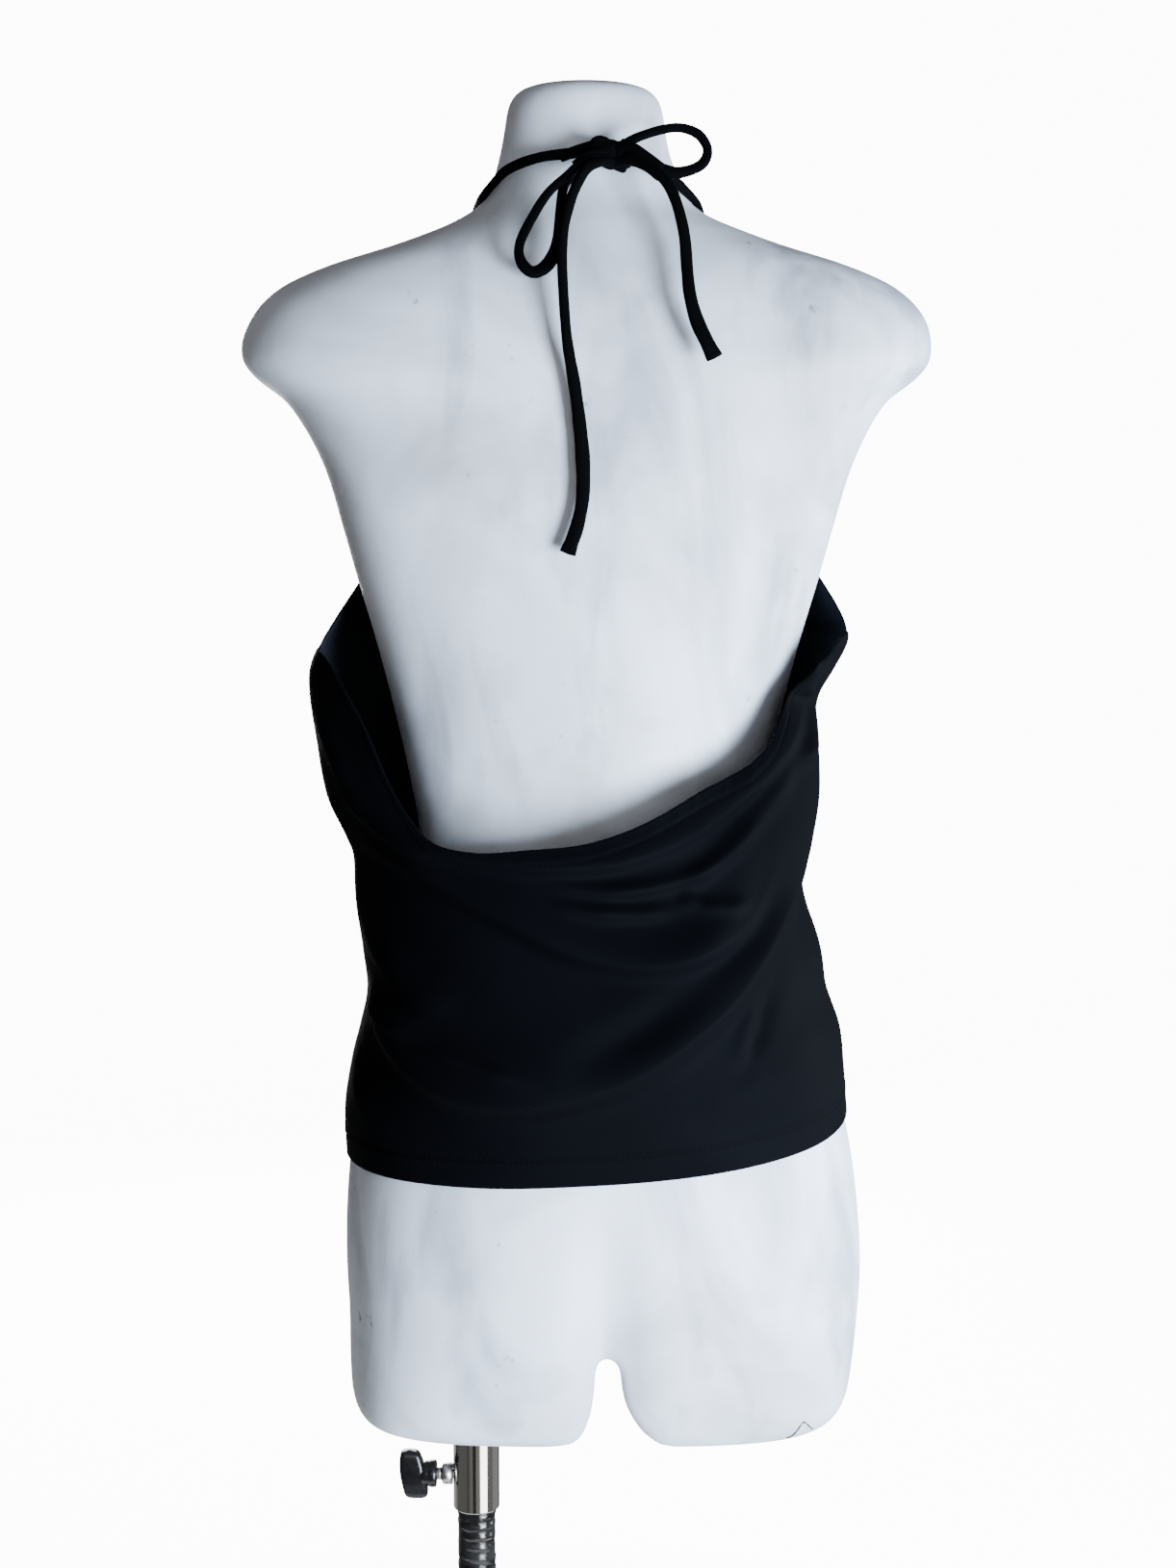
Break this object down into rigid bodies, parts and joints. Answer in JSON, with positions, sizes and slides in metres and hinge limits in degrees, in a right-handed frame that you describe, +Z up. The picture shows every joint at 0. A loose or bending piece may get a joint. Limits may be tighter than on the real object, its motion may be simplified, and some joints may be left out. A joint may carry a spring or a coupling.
{
  "type": "halter neck top on a dress form",
  "caption": "Dark stretch-jersey halter top with a low draped cowl back, tied in a bow at the nape, on a smooth limbless dress form clamped to a pole stand.",
  "frame": {"origin": "centre of the base plate's underside, on the pole's axis", "axes": "+Z up along the pole, +Y the way the form and the top's front face, +X the form's right"},
  "size_m": [0.456, 0.34, 1.394],
  "materials": {
    "jersey": "satin stretch jersey, near black with a slight navy tint",
    "form_white": "satin white moulded shell",
    "sleeve_chrome": "polished",
    "pole_chrome": "polished",
    "film": "dark grey film wound on the pole",
    "knob_black": "moulded",
    "base_steel": "brushed"
  },
  "bodies": {
    "base": {"base_plate": "base_steel", "base_socket": "base_steel"},
    "column": {"pole": "pole_chrome", "pole_wrap": "film"},
    "dressed_form": {"torso_form": "form_white", "pole_sleeve": "sleeve_chrome", "clamp_boss": "sleeve_chrome", "front_panel": "jersey", "back_panel": "jersey", "neck_casing": "jersey", "neck_cord": "jersey", "bow_knot": "jersey", "bow_loop_left": "jersey", "bow_loop_right": "jersey", "tie_end_left": "jersey", "tie_end_right": "jersey"},
    "clamp_screw": {"clamp_knob": "knob_black"}
  },
  "joints": [
    {"name": "pole_turn", "type": "hinge", "parent": "base", "child": "column", "pos_m": [0, 0, 0.03], "axis": [0, 0, 1], "continuous": true},
    {"name": "height_slide", "type": "slide", "parent": "column", "child": "dressed_form", "axis": [0, 0, 1], "range_m": [-0.08, 0.06]},
    {"name": "clamp_turn", "type": "hinge", "parent": "dressed_form", "child": "clamp_screw", "pos_m": [-0.03, 0, 0.503], "axis": [-1, 0, 0], "range_deg": [0, 720]}
  ]
}
